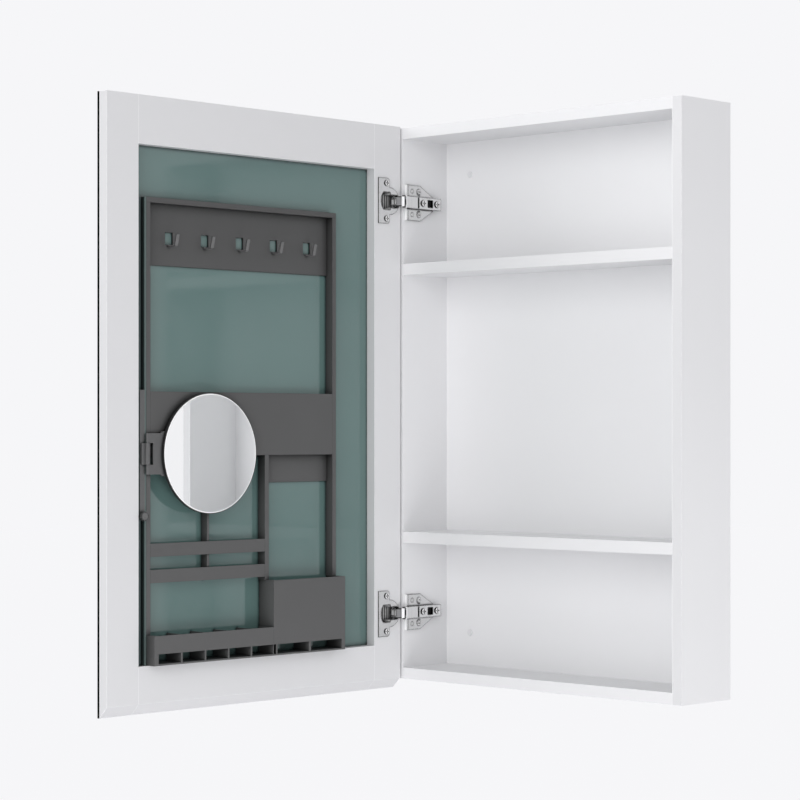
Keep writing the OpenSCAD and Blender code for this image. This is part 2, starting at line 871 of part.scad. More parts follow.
module slide_rail() color(dark_grey) open_door() difference() {
    box([rail_x0, -frame_thick, tidy_z0], [rail_x0 + rail_w, -tidy_front, tidy_z1]);
    box([rail_mid - mouth_w / 2, -tidy_front - lip_t - 0.1, tidy_z0 - 1],
        [rail_mid + mouth_w / 2, 0, tidy_z1 + 1]);
    box([rail_mid - groove_w / 2, -groove_floor, tidy_z0 - 1],
        [rail_mid + groove_w / 2, -tidy_front - lip_t, tidy_z1 + 1]);
}

// The end bar of the bracket turns in the round clasp at the middle of the slider bar,
// and the knob turns on a stem at its lower end
module slider_bar() color(dark_grey) open_door() {
    difference() {
        union() {
            box([rail_mid - groove_w / 2 + slide_play, -groove_floor + slide_play, slider_z0],
                [rail_mid + groove_w / 2 - slide_play, -tidy_front - lip_t - slide_play, slider_z1]);
            box([neck_x0, -tidy_front - lip_t - slide_play - 0.1, slider_z0],
                [rail_mid + mouth_w / 2 - slide_play, -slider_face, slider_z1]);
            box([swing_x, -slider_face - 0.1, magnifier_z - clasp_half],
                [rail_mid + 2.5, swing_y, magnifier_z + clasp_half]);
            translate([swing_x, swing_y, magnifier_z - clasp_half])
                cylinder(h = 2 * clasp_half, r = swing_r + clasp_play + clasp_t);
        }
        translate([swing_x, swing_y, magnifier_z - clasp_half - 1])
            cylinder(h = 2 * clasp_half + 2, r = swing_r + clasp_play);
        box([rail_x0 - rail_w, -frame_thick, magnifier_z - clasp_half - 1],
            [neck_x0, -tidy_front + slide_play, magnifier_z + clasp_half + 1]);
    }
    translate([rail_mid, 0, knob_z]) rod_y(-slider_face - 0.1, stem_end, knob_stem_r);
}

module slider_knob() color(dark_grey) open_door() translate([rail_mid, 0, knob_z]) difference() {
    rod_y(-slider_face + 0.2, knob_h - slider_face, knob_d / 2);
    rod_y(-slider_face, stem_end + pin_play, knob_stem_r + pin_play);
    for (a = [0 : 30 : 330])
        rotate([0, a, 0]) translate([knob_d / 2 + 0.5, 0, 0]) rod_y(0.4, knob_h, 1);
}

module swing_bracket() color(dark_grey) open_door() {
    low = magnifier_z - bracket_h / 2;
    high = magnifier_z + bracket_h / 2;
    neck_x = swing_x - bracket_neck;
    difference() {
        translate([0, swing_y + bracket_t / 2, 0]) rotate([90, 0, 0]) linear_extrude(bracket_t) polygon([
            [swing_x, low], [neck_x, low], [neck_x - bracket_flare, low - bracket_flare],
            [magnifier_x, low - bracket_flare], [magnifier_x, high + bracket_flare],
            [neck_x - bracket_flare, high + bracket_flare], [neck_x, high], [swing_x, high]
        ]);
        box([slot_x0, swing_y - bracket_t, magnifier_z - clasp_half - 0.4],
            [swing_x + swing_r + 1, swing_y + bracket_t, magnifier_z + clasp_half + 0.4]);
    }
    translate([swing_x, swing_y, low]) cylinder(h = bracket_h, r = swing_r);
}

// A shallow dish with a thin rim round the glass
module mirror_holder() color(dark_grey) open_door()
    translate([magnifier_x, swing_y + bracket_t / 2, magnifier_z]) difference() {
        rod_y(0, holder_t + magnifier_glass_t - glass_proud, magnifier_d / 2);
        rod_y(holder_t, holder_t + magnifier_glass_t, glass_r + glass_play);
    }

module magnifier_glass() color(silver) open_door()
    translate([magnifier_x, swing_y + bracket_t / 2 + holder_t, magnifier_z]) {
        rod_y(0, magnifier_glass_t - glass_bevel, glass_r);
        translate([0, magnifier_glass_t - glass_bevel, 0]) rotate([-90, 0, 0])
            cylinder(h = glass_bevel, r1 = glass_r, r2 = glass_r - glass_bevel);
    }

module upper_hinge_plate() hinge_plate(hinge_zs[0]);

module lower_hinge_plate() hinge_plate(hinge_zs[1]);

module upper_hinge_arm() hinge_arm(hinge_zs[0]);

module lower_hinge_arm() hinge_arm(hinge_zs[1]);

module upper_outer_link() outer_link(hinge_zs[0]);

module lower_outer_link() outer_link(hinge_zs[1]);

module upper_inner_link() inner_link(hinge_zs[0]);

module lower_inner_link() inner_link(hinge_zs[1]);

module upper_hinge_cup() hinge_cup(hinge_zs[0]);

module lower_hinge_cup() hinge_cup(hinge_zs[1]);

left_side_panel();
right_side_panel();
top_panel();
bottom_panel();
back_panel();
upper_shelf();
lower_shelf();
board_dowels();
wall_screw_caps();
upper_hinge_plate();
lower_hinge_plate();
hinge_plate_screws();
upper_hinge_arm();
lower_hinge_arm();
hinge_arm_screws();
hinge_arm_pins();
upper_outer_link();
lower_outer_link();
upper_inner_link();
lower_inner_link();
upper_hinge_cup();
lower_hinge_cup();
hinge_cup_screws();
hinge_cup_pins();
closing_springs();
hinge_stile();
free_stile();
top_rail();
bottom_rail();
frame_dowels();
mirror_glass();
tidy_top_member();
tidy_hinge_side_member();
tidy_free_side_member();
hook_panel();
hook_1();
hook_2();
hook_3();
hook_4();
hook_5();
middle_pocket_band();
middle_pocket_floor();
back_plate();
upright_divider();
upper_slim_band();
lower_slim_band();
small_divider();
side_pocket();
tray();
slide_rail();
slider_bar();
slider_knob();
swing_bracket();
mirror_holder();
magnifier_glass();
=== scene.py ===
# %% [markdown]
# # A wall cabinet with a mirror door and a plastic tidy inside it
# This lesson dresses a solid model for a picture. The solids come from a CAD file and are already in
# metres and in place, so nothing here moves or resizes them. Each step adds light, a softer edge or a
# finish.

# %% Load the solid model
import math

import bpy
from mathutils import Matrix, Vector


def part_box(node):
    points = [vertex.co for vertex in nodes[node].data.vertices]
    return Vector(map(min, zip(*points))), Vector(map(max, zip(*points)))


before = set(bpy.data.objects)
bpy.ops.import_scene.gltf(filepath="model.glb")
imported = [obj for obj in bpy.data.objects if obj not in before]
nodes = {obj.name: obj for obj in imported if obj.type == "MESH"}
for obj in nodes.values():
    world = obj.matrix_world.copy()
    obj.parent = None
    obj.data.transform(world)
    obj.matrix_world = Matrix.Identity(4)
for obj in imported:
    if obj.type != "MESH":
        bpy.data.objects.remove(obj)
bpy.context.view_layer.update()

# %% [markdown]
# ## The camera
# The picture was taken with a long lens from the right of the cabinet, level with its middle, so
# upright edges stay upright. A long lens keeps the near door and the far side almost the same size.
# The frame is moved a little sideways with the lens shift instead of by turning the camera, because
# turning it would make the uprights lean.

# %% Place the camera
camera_data = bpy.data.cameras.new("camera")
camera_data.sensor_width = 36
camera_data.lens = 110.23
camera_data.shift_x = -0.10506
camera_data.shift_y = 0.0356
camera = bpy.data.objects.new("camera", camera_data)
camera.location = (2.1328, -2.4550, -0.0343)
camera.rotation_euler = (math.radians(90), 0, math.radians(43.23))
bpy.context.scene.collection.objects.link(camera)
bpy.context.scene.camera = camera
bpy.context.scene.view_settings.view_transform = "Standard"
print("camera is", round(camera.location.length, 2), "m from the wall face")

# %% [markdown]
# ## Sums in a node tree
# Light and finishes both need small sums, such as the larger of two values. A Math node does one sum,
# and each of its inputs is a plain number or a link from another node. One helper takes both kinds, so
# that the steps below read like ordinary sums.

# %% Make a helper for sums
def calculate(tree, operation, first, second=None, third=None):
    """A Math node: each value is a number or the socket that gives it."""
    node = tree.nodes.new("ShaderNodeMath")
    node.operation = operation
    for socket, value in zip(node.inputs, (first, second, third)):
        if value is None:
            continue
        if isinstance(value, (int, float)):
            socket.default_value = value
        else:
            tree.links.new(value, socket)
    return node.outputs[0]


print("sums can be made")

# %% [markdown]
# ## The studio
# A white room with soft light from all round suits a pale cabinet: its colours come out close to how
# they are written, and every inside corner darkens by itself. The world gives that even light. Rays
# that reach the camera straight, by way of a mirror or metal, or through glass, see a plain near-white
# instead, so the backdrop has the tone of the picture while the light on the object stays as it is.
# Soft lamps add direction. They are hidden from mirrors, which would show each as a hard white square.

# %% Light the room
world = bpy.data.worlds.new("white room")
world.use_nodes = True
bpy.context.scene.world = world
sky = world.node_tree
sky.nodes.clear()
rays = sky.nodes.new("ShaderNodeLightPath").outputs
seen = calculate(sky, "MAXIMUM", rays["Is Camera Ray"], rays["Is Glossy Ray"])
seen_or_through = calculate(sky, "MAXIMUM", seen, rays["Is Transmission Ray"])
room_light = sky.nodes.new("ShaderNodeBackground")
room_light.inputs["Color"].default_value = (0.985, 0.985, 1.0, 1)
room_light.inputs["Strength"].default_value = 0.54
paper = sky.nodes.new("ShaderNodeBackground")
paper.inputs["Color"].default_value = (0.922, 0.922, 0.940, 1)
paper.inputs["Strength"].default_value = 1.0
either = sky.nodes.new("ShaderNodeMixShader")
sky.links.new(seen_or_through, either.inputs["Fac"])
sky.links.new(room_light.outputs[0], either.inputs[1])
sky.links.new(paper.outputs[0], either.inputs[2])
sky_out = sky.nodes.new("ShaderNodeOutputWorld")
sky.links.new(either.outputs[0], sky_out.inputs["Surface"])


def soft_lamp(name, place, aim, size, watts):
    """A square lamp with a wide face, turned towards a point and hidden from mirrors."""
    lamp_data = bpy.data.lights.new(name, "AREA")
    lamp_data.shape = "SQUARE"
    lamp_data.size = size
    lamp_data.energy = watts
    lamp = bpy.data.objects.new(name, lamp_data)
    lamp.location = place
    lamp.visible_glossy = False
    lamp.rotation_euler = (Vector(aim) - Vector(place)).to_track_quat("-Z", "Y").to_euler()
    bpy.context.scene.collection.objects.link(lamp)


LAMPS = [  # name, place, the point it is turned to, width in metres, watts
    ("high lamp", (1.2, -2.9, 1.1), (0, -0.1, 0), 1.8, 26),
    ("front lamp", (1.0, -2.8, -0.6), (0, -0.1, 0), 1.8, 15),
    ("left lamp", (-2.6, -1.6, 1.4), (-0.2, -0.2, 0), 1.6, 28),
    ("inside lamp", (-1.5, -2.6, 0.5), (0.1, -0.1, 0), 1.6, 6),
    ("low lamp", (1.6, -0.5, -1.2), (-0.24, -0.35, -0.3), 0.9, 11)]
for lamp_values in LAMPS:
    soft_lamp(*lamp_values)
print("room light:", room_light.inputs["Strength"].default_value, "and", len(LAMPS), "soft lamps")

# %% [markdown]
# ## The floor
# The cabinet hangs on a wall, so the floor is well below it and only catches a faint shadow. It is
# stage, not part of the object. For the camera and for mirrors it is mostly a plain emission of the
# backdrop's tone, so that its far edge melts into the backdrop. The rest of it is a real surface, which
# takes the shadow and throws light back up.

# %% Lay the floor
FLOOR_Z, REACH = -1.35, 24
EMISSION_SHARE = 0.92
floor_mesh = bpy.data.meshes.new("floor")
floor_mesh.from_pydata(
    [(-REACH, -REACH, FLOOR_Z), (REACH, -REACH, FLOOR_Z), (REACH, REACH, FLOOR_Z), (-REACH, REACH, FLOOR_Z)],
    [], [(0, 1, 2, 3)])
floor = bpy.data.objects.new("floor", floor_mesh)
bpy.context.scene.collection.objects.link(floor)
floor_paint = bpy.data.materials.new("pale floor")
floor_paint.use_nodes = True
tree = floor_paint.node_tree
surface = tree.nodes["Principled BSDF"]
surface.inputs["Base Color"].default_value = (0.90, 0.90, 0.92, 1)
surface.inputs["Roughness"].default_value = 0.8
glow = tree.nodes.new("ShaderNodeEmission")
glow.inputs["Color"].default_value = (0.958, 0.958, 0.976, 1)
rays = tree.nodes.new("ShaderNodeLightPath").outputs
seen = calculate(tree, "MAXIMUM", rays["Is Camera Ray"], rays["Is Glossy Ray"])
either = tree.nodes.new("ShaderNodeMixShader")
tree.links.new(calculate(tree, "MULTIPLY", seen, EMISSION_SHARE), either.inputs["Fac"])
tree.links.new(surface.outputs[0], either.inputs[1])
tree.links.new(glow.outputs[0], either.inputs[2])
tree.links.new(either.outputs[0], tree.nodes["Material Output"].inputs["Surface"])
floor_mesh.materials.append(floor_paint)

# %% [markdown]
# ## Effects that several finishes share
# Most finishes here are a little uneven from place to place, get painted lines of light and shade along their
# edges, get painted shade in their corners, and get painted tones that differ between broad faces and cut
# ones. Metal also keeps the lines of its rolling. Each effect is made once as a node group with its own
# inputs, like a ready-made filter, and every finish places it with its own values.

# %% Helpers for node groups
def new_group(name, inputs, outputs):
    """An empty shader node group with named sockets. Each entry is a name, a kind and a start value."""
    group = bpy.data.node_groups.new(name, "ShaderNodeTree")
    for label, kind, value in inputs:
        socket = group.interface.new_socket(label, in_out="INPUT", socket_type=kind)
        socket.default_value = value
    for label, kind in outputs:
        group.interface.new_socket(label, in_out="OUTPUT", socket_type=kind)
    start = group.nodes.new("NodeGroupInput")
    end = group.nodes.new("NodeGroupOutput")
    return group, start.outputs, end.inputs


def mix_colours(tree, amount, first, second):
    """A blend of two colours, 0 gives the first and 1 the second."""
    node = tree.nodes.new("ShaderNodeMix")
    node.data_type = "RGBA"
    for socket, value in ((node.inputs[0], amount), (node.inputs[6], first), (node.inputs[7], second)):
        if isinstance(value, (int, float, tuple)):
            socket.default_value = value
        else:
            tree.links.new(value, socket)
    return node.outputs[2]


def place_on_object(tree):
    """The X, Y and Z of a point in the coordinates of its object, which travel with the piece."""
    spot = tree.nodes.new("ShaderNodeTexCoord")
    parts = tree.nodes.new("ShaderNodeSeparateXYZ")
    tree.links.new(spot.outputs["Object"], parts.inputs[0])
    return parts.outputs


def grey(shade):
    """A plain grey: 0 is black and 1 is white."""
    return (shade, shade, shade, 1)


COLOUR, NUMBER = "NodeSocketColor", "NodeSocketFloat"
print("helpers ready")

# %% [markdown]
# ### Uneven surface
# Foil, moulded plastic and paint all have a fine relief that breaks up a reflection, and a slow drift
# of tone that stops a large face from looking like paper. One noise in the size of the relief and one
# much larger give both. The texture reads object coordinates, which are metres on these pieces.

# %% Make the uneven surface
def noise_of_size(tree, place, size, detail=2.0):
    """A noise whose lumps are about this size in metres."""
    noise = tree.nodes.new("ShaderNodeTexNoise")
    noise.inputs["Detail"].default_value = detail
    tree.links.new(place, noise.inputs["Vector"])
    tree.links.new(calculate(tree, "DIVIDE", 1.0, size), noise.inputs["Scale"])
    return noise.outputs["Fac"]


def blend_noises(tree, fine, broad, fine_share):
    """A sum of two noises in which the fine one has this share."""
    return calculate(tree, "ADD", calculate(tree, "MULTIPLY", fine, fine_share),
                     calculate(tree, "MULTIPLY", broad, 1 - fine_share))


uneven, give, take = new_group(
    "uneven surface",
    [("Color", COLOUR, grey(0.8)), ("Tint", COLOUR, grey(0.7)),
     ("Grain Size", NUMBER, 0.001), ("Patch Size", NUMBER, 0.1), ("Drift", NUMBER, 0.3),
     ("Roughness", NUMBER, 0.5), ("Roughness Drift", NUMBER, 0.1)],
    [("Color", COLOUR), ("Roughness", NUMBER), ("Height", NUMBER)])
spot = uneven.nodes.new("ShaderNodeTexCoord")
grain = noise_of_size(uneven, spot.outputs["Object"], give["Grain Size"], 3.0)
patch = noise_of_size(uneven, spot.outputs["Object"], give["Patch Size"], 1.0)
tone = calculate(uneven, "MULTIPLY", blend_noises(uneven, grain, patch, 0.35), give["Drift"])
uneven.links.new(mix_colours(uneven, tone, give["Color"], give["Tint"]), take["Color"])
sway = calculate(uneven, "SUBTRACT", blend_noises(uneven, grain, patch, 0.5), 0.5)
uneven.links.new(calculate(uneven, "MULTIPLY_ADD", sway, give["Roughness Drift"], give["Roughness"]),
                 take["Roughness"])
uneven.links.new(grain, take["Height"])
print("group:", uneven.name, len(uneven.nodes), "nodes")

# %% [markdown]
# ### Painted edge lines
# Painted lines follow the edges: a pale painted highlight on foil and on the slider, and a dark line on metal
# and most dark plastic, painted as the shade and the reflection of the gap beside it. The Bevel node gives
# the normal that a rounded edge would have; where it turns away from the real normal there is an edge. A
# noise breaks the line up, so that it isn't ruled.

# %% Make the painted edge lines
LEAN_GAIN = 5.0
BREAK_LOW, BREAK_SPAN = 0.6, 0.8
edges, give, take = new_group(
    "painted edge lines",
    [("Color", COLOUR, grey(0.8)), ("Edge Color", COLOUR, grey(1)),
     ("Width", NUMBER, 0.0008), ("Strength", NUMBER, 0.5)],
    [("Color", COLOUR)])
rounded = edges.nodes.new("ShaderNodeBevel")
rounded.samples = 4
edges.links.new(give["Width"], rounded.inputs["Radius"])
flat = edges.nodes.new("ShaderNodeNewGeometry")
turn = edges.nodes.new("ShaderNodeVectorMath")
turn.operation = "DOT_PRODUCT"
edges.links.new(rounded.outputs["Normal"], turn.inputs[0])
edges.links.new(flat.outputs["Normal"], turn.inputs[1])
lean = calculate(edges, "SUBTRACT", 1.0, turn.outputs["Value"])
spot = edges.nodes.new("ShaderNodeTexCoord")
line_breaks = edges.nodes.new("ShaderNodeTexNoise")
line_breaks.inputs["Scale"].default_value = 160
edges.links.new(spot.outputs["Object"], line_breaks.inputs["Vector"])
broken = calculate(edges, "MULTIPLY_ADD", line_breaks.outputs["Fac"], BREAK_SPAN, BREAK_LOW)
mask = edges.nodes.new("ShaderNodeClamp")
edges.links.new(calculate(edges, "MULTIPLY", calculate(edges, "MULTIPLY", lean, LEAN_GAIN),
                          calculate(edges, "MULTIPLY", broken, give["Strength"])), mask.inputs["Value"])
edges.links.new(mix_colours(edges, mask.outputs[0], give["Color"], give["Edge Color"]), take["Color"])
print("group:", edges.name, len(edges.nodes), "nodes")

# %% [markdown]
# ### Painted shade in corners
# Deep corners get painted shade, darker than soft lamps alone would make them. Ambient occlusion tells how
# much of the sky a point can see within a short reach; what it can't see becomes a mask, and the mask pulls
# the colour towards a dark one.

# %% Make the painted corner shade
corners, give, take = new_group(
    "painted corner shade",
    [("Color", COLOUR, grey(0.8)), ("Shade Color", COLOUR, grey(0)), ("Reach", NUMBER, 0.01),
     ("Start", NUMBER, 0.1), ("Strength", NUMBER, 1.5)],
    [("Color", COLOUR)])
open_sky = corners.nodes.new("ShaderNodeAmbientOcclusion")
open_sky.samples = 8
corners.links.new(give["Reach"], open_sky.inputs["Distance"])
unseen = calculate(corners, "SUBTRACT", 1.0, open_sky.outputs["AO"])
beyond_start = calculate(corners, "SUBTRACT", unseen, give["Start"])
mask = corners.nodes.new("ShaderNodeClamp")
corners.links.new(calculate(corners, "MULTIPLY", beyond_start, give["Strength"]), mask.inputs["Value"])
corners.links.new(mix_colours(corners, mask.outputs[0], give["Color"], give["Shade Color"]), take["Color"])
print("group:", corners.name, len(corners.nodes), "nodes")

# %% [markdown]
# ### Faces by direction
# On a pressed sheet the broad faces keep their plating, while the front edge gets a painted tone of light,
# white on the plates and arms and dark on the cups and screws, and the upper and lower edges are painted dark
# as shade and reflection. A board's front edge gets its own painted tone of light and shade. The normal in
# object coordinates tells these faces apart, and it turns with the piece when the door opens. A face belongs
# to a direction when it is turned less than about 45 degrees from it.

# %% Make the faces by direction
COSINE_LIMIT = 0.7
faces, give, take = new_group(
    "faces by direction",
    [("Color", COLOUR, grey(0.8)), ("Front Color", COLOUR, grey(1)), ("Edge Color", COLOUR, grey(0.1))],
    [("Color", COLOUR), ("Front", NUMBER)])
spot = faces.nodes.new("ShaderNodeTexCoord")
facing = faces.nodes.new("ShaderNodeSeparateXYZ")
faces.links.new(spot.outputs["Normal"], facing.inputs[0])
front_face = calculate(faces, "LESS_THAN", facing.outputs["Y"], -COSINE_LIMIT)
upright = calculate(faces, "ABSOLUTE", facing.outputs["Z"])
edge_face = calculate(faces, "GREATER_THAN", upright, COSINE_LIMIT)
with_front = mix_colours(faces, front_face, give["Color"], give["Front Color"])
faces.links.new(mix_colours(faces, edge_face, with_front, give["Edge Color"]), take["Color"])
faces.links.new(front_face, take["Front"])
print("group:", faces.name, len(faces.nodes), "nodes")

# %% [markdown]
# ### Drawn metal
# Pressed steel is rolled and then plated, and fine lines along the rolling stay in the plating. The
# noise is squeezed across the lines and stretched along them. It varies the roughness more than the
# colour, because that is how such lines show on bright metal.

# %% Make the drawn metal
STRETCH = 0.12
CLOUD_SIZE, CLOUD_SHARE = 0.012, 0.6
drawn, give, take = new_group(
    "drawn metal",
    [("Color", COLOUR, grey(0.7)), ("Dull Color", COLOUR, grey(0.5)),
     ("Line Size", NUMBER, 0.0003), ("Roughness", NUMBER, 0.25), ("Roughness Drift", NUMBER, 0.12)],
    [("Color", COLOUR), ("Roughness", NUMBER), ("Height", NUMBER)])
spot = drawn.nodes.new("ShaderNodeTexCoord")
squeeze = drawn.nodes.new("ShaderNodeMapping")
squeeze.inputs["Scale"].default_value = (STRETCH, STRETCH, 1.0)
drawn.links.new(spot.outputs["Object"], squeeze.inputs["Vector"])
lines = noise_of_size(drawn, squeeze.outputs["Vector"], give["Line Size"], 4.0)
cloud = noise_of_size(drawn, spot.outputs["Object"], CLOUD_SIZE)
dullness = calculate(drawn, "MULTIPLY", cloud, CLOUD_SHARE)
drawn.links.new(mix_colours(drawn, dullness, give["Color"], give["Dull Color"]), take["Color"])
drawn.links.new(calculate(drawn, "MULTIPLY_ADD", calculate(drawn, "SUBTRACT", lines, 0.5),
                          give["Roughness Drift"], give["Roughness"]), take["Roughness"])
drawn.links.new(lines, take["Height"])
print("group:", drawn.name, len(drawn.nodes), "nodes")

# %% [markdown]
# ## A start for every finish
# Each finish begins as a Principled shader. Its plain numbers are typed on its own sockets, and the
# groups feed only what changes over the surface. The relief goes through a Bump node whose distance is
# the true height of the grain in metres.

# %% Helpers for finishes
def start_finish(name, **plain):
    """A material with a Principled shader. Names of its sockets are given with _ for a space."""
    finish = bpy.data.materials.new(name)
    finish.use_nodes = True
    shader = finish.node_tree.nodes["Principled BSDF"]
    for label, value in plain.items():
        shader.inputs[label.replace("_", " ")].default_value = value
    return finish, finish.node_tree, shader


def place_group(tree, group, **values):
    """Puts a group into a material. A value is a number, a colour or the socket that feeds it."""
    node = tree.nodes.new("ShaderNodeGroup")
    node.node_tree = group
    for label, value in values.items():
        socket = node.inputs[label.replace("_", " ")]
        if isinstance(value, (int, float, tuple)):
            socket.default_value = value
        else:
            tree.links.new(value, socket)
    return node.outputs


def add_relief(tree, shader, height, depth):
    """Lets a height in 0 to 1 tilt the surface as if it were this deep, in metres."""
    bump = tree.nodes.new("ShaderNodeBump")
    bump.inputs["Strength"].default_value = 1.0
    bump.inputs["Distance"].default_value = depth
    tree.links.new(height, bump.inputs["Height"])
    tree.links.new(bump.outputs["Normal"], shader.inputs["Normal"])


def dress(finish, *names):
    """Gives solids of the model this finish."""
    for name in names:
        mesh = nodes[name].data
        mesh.materials.clear()
        mesh.materials.append(finish)


def ease_edges(width, *names):
    """Rounds the sharp edges of solids of the model, after joining the loose corners of their faces."""
    for name in names:
        weld = nodes[name].modifiers.new("join corners", "WELD")
        weld.merge_threshold = 0.000005
        soft = nodes[name].modifiers.new("ease edges", "BEVEL")
        soft.width = width
        soft.segments = 2
        soft.limit_method = "ANGLE"
        soft.angle_limit = math.radians(35)
        soft.harden_normals = True


print("finishes can be made")

# %% [markdown]
# ## Foil on the boards
# The body and the door frame are board wrapped in a light grey satin foil. Its print has almost no pattern,
# but the press leaves a fine relief, and a painted highlight makes the edges a touch brighter. The same foil
# is painted lighter on the far side and the back and darker on the door frame than on the body, as painted
# light and shade. On their front edges it is painted lighter on the body and darker on the far side and the
# door frame; the back keeps its own tone there.

# %% Make the foils
def foil(name, colour, tint, front_lighting, edge=(0.90, 0.90, 0.915, 1), shine=0.45, inside=None):
    """Satin foil, with a painted tone of light on the front edges of its boards and a painted highlight along
    its edges.
    """
    finish, tree, shader = start_finish(name, Specular_IOR_Level=0.35)
    base = place_group(tree, uneven, Color=colour, Tint=tint, Grain_Size=0.0009, Patch_Size=0.16, Drift=0.5,
                       Roughness=0.42, Roughness_Drift=0.12)
    with_front_lighting = place_group(tree, faces, Color=base["Color"], Front_Color=front_lighting, Edge_Color=base["Color"])
    plain = with_front_lighting["Color"] if inside is None else inside(tree, with_front_lighting["Color"])
    # The pale edge colour is a painted highlight, as strong as shine.
    edge_lined = place_group(tree, edges, Color=plain, Edge_Color=edge, Width=0.0012, Strength=shine)
    tree.links.new(edge_lined["Color"], shader.inputs["Base Color"])
    tree.links.new(base["Roughness"], shader.inputs["Roughness"])
    add_relief(tree, shader, base["Height"], depth=0.00002)
    return finish


def painted_light_inside(tree, colour):
    """The side of the far panel that looks into the cabinet is painted a little paler, as painted light."""
    face_depth = 0.0005
    inner_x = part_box("right_side_panel")[0].x + face_depth
    within = calculate(tree, "LESS_THAN", place_on_object(tree)["X"], inner_x)
    return mix_colours(tree, within, colour, (0.96, 0.96, 0.965, 1))


# The front edge tones and the tone of each piece are painted light and shade on one foil.
BODY_FRONT_LIGHTING, SIDE_FRONT_LIGHTING, DOOR_FRONT_LIGHTING = (0.835, 0.835, 0.845, 1), (0.745, 0.745, 0.755, 1), (0.65, 0.65, 0.66, 1)
BACK, DOOR = (0.865, 0.865, 0.875, 1), (0.740, 0.740, 0.750, 1)
body_foil = foil("grey foil on the body", (0.80, 0.80, 0.81, 1), (0.77, 0.77, 0.78, 1), BODY_FRONT_LIGHTING)
side_foil = foil("grey foil on the far side", (0.875, 0.875, 0.885, 1), (0.84, 0.84, 0.85, 1), SIDE_FRONT_LIGHTING,
                 inside=painted_light_inside)
back_foil = foil("grey foil on the back panel", BACK, (0.83, 0.83, 0.84, 1), BACK)
door_foil = foil("grey foil on the door frame", DOOR, (0.71, 0.71, 0.72, 1), DOOR_FRONT_LIGHTING,
                 edge=(0.95, 0.95, 0.96, 1), shine=0.8)
boards = ["left_side_panel", "top_panel", "bottom_panel", "upper_shelf", "lower_shelf"]
frame_parts = ["hinge_stile", "free_stile", "top_rail", "bottom_rail"]
dress(body_foil, *boards)
dress(side_foil, "right_side_panel")
dress(back_foil, "back_panel")
dress(door_foil, *frame_parts)
ease_edges(0.0006, *boards, "right_side_panel", *frame_parts)
print("foil on", len(boards) + len(frame_parts) + 2, "pieces")

# %% [markdown]
# ## Beech dowels
# The boards are joined by grooved beech dowels that nobody sees once the cabinet is together. They
# still get wood grain, so that the exploded cabinet looks right: rings cut lengthwise, drawn out by a
# stretched noise, and the short dark flecks that beech is known by.

# %% Make the beech
FLECK_RADIUS, FLECK_SHARE = 0.16, 0.5
beech, tree, shader = start_finish("bare beech", Roughness=0.6)
spot = tree.nodes.new("ShaderNodeTexCoord")
along = tree.nodes.new("ShaderNodeMapping")
along.inputs["Scale"].default_value = (60, 320, 320)
fibre = tree.nodes.new("ShaderNodeTexNoise")
fibre.inputs["Scale"].default_value = 1.0
fibre.inputs["Detail"].default_value = 5.0
flecks = tree.nodes.new("ShaderNodeTexVoronoi")
flecks.inputs["Scale"].default_value = 3.0
tree.links.new(spot.outputs["Object"], along.inputs["Vector"])
tree.links.new(along.outputs["Vector"], fibre.inputs["Vector"])
tree.links.new(along.outputs["Vector"], flecks.inputs["Vector"])
wood = mix_colours(tree, fibre.outputs["Fac"], (0.68, 0.47, 0.28, 1), (0.50, 0.31, 0.16, 1))
near_fleck = calculate(tree, "LESS_THAN", flecks.outputs["Distance"], FLECK_RADIUS)
darkening = calculate(tree, "MULTIPLY", near_fleck, FLECK_SHARE)
tree.links.new(mix_colours(tree, darkening, wood, (0.30, 0.17, 0.08, 1)), shader.inputs["Base Color"])
add_relief(tree, shader, fibre.outputs["Fac"], depth=0.0001)
dress(beech, "board_dowels", "frame_dowels")
print("beech on the dowels")

# %% [markdown]
# ## Covers over the wall screws
# Small round caps of smooth moulded plastic, in the colour of the board.

# %% Make the cap plastic
cap_plastic, tree, shader = start_finish("pale moulded plastic")
base = place_group(tree, uneven, Color=(0.80, 0.80, 0.81, 1), Tint=(0.74, 0.74, 0.76, 1), Grain_Size=0.0004,
                   Patch_Size=0.01, Drift=0.4, Roughness=0.3, Roughness_Drift=0.1)
tree.links.new(base["Color"], shader.inputs["Base Color"])
tree.links.new(base["Roughness"], shader.inputs["Roughness"])
add_relief(tree, shader, base["Height"], depth=0.00001)
dress(cap_plastic, "wall_screw_caps")
print("cap plastic made")

# %% [markdown]
# ## Places on the hinges
# One pressed piece shows several looks: bright plating, a recess painted dark as shade, an end painted white
# as a highlight. The two hinges are alike, so one set of distances serves both. A function for a place of
# painted light gives two things: a mask of the place, and the colour there.

# %% Find places on the hinges
BLACK, GREY, WHITE = grey(0.02), grey(0.06), grey(0.97)
HINGES = ("upper_", "lower_")
HINGE_HEIGHTS = [sum(c.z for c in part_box(hinge + "hinge_cup")) / 2 for hinge in HINGES]
HINGE_MIDDLE = sum(HINGE_HEIGHTS) / 2
HINGE_HALF_SPAN = (HINGE_HEIGHTS[0] - HINGE_HEIGHTS[1]) / 2
RIDGE_ABOVE_PLATE, RIDGE_BEHIND_FRONT = 0.0025, 0.005
RIM_FROM_MIDDLE, TIP_LENGTH = 0.0055, 0.0034
NOSE_STRIP, HEEL_STRIP = (0.00575, 0.0020), (-0.0042, 0.0017)  # middle and half the width
FLANGE_DEPTH = 0.0013
STRIPE_PITCH, STRIPE_START = 0.0042, 1.2


def off_centre(tree):
    """How far a point is above or below the middle of its hinge, in metres."""
    height = place_on_object(tree)["Z"]
    from_middle = calculate(tree, "ABSOLUTE", calculate(tree, "SUBTRACT", height, HINGE_MIDDLE))
    return calculate(tree, "ABSOLUTE", calculate(tree, "SUBTRACT", from_middle, HINGE_HALF_SPAN))


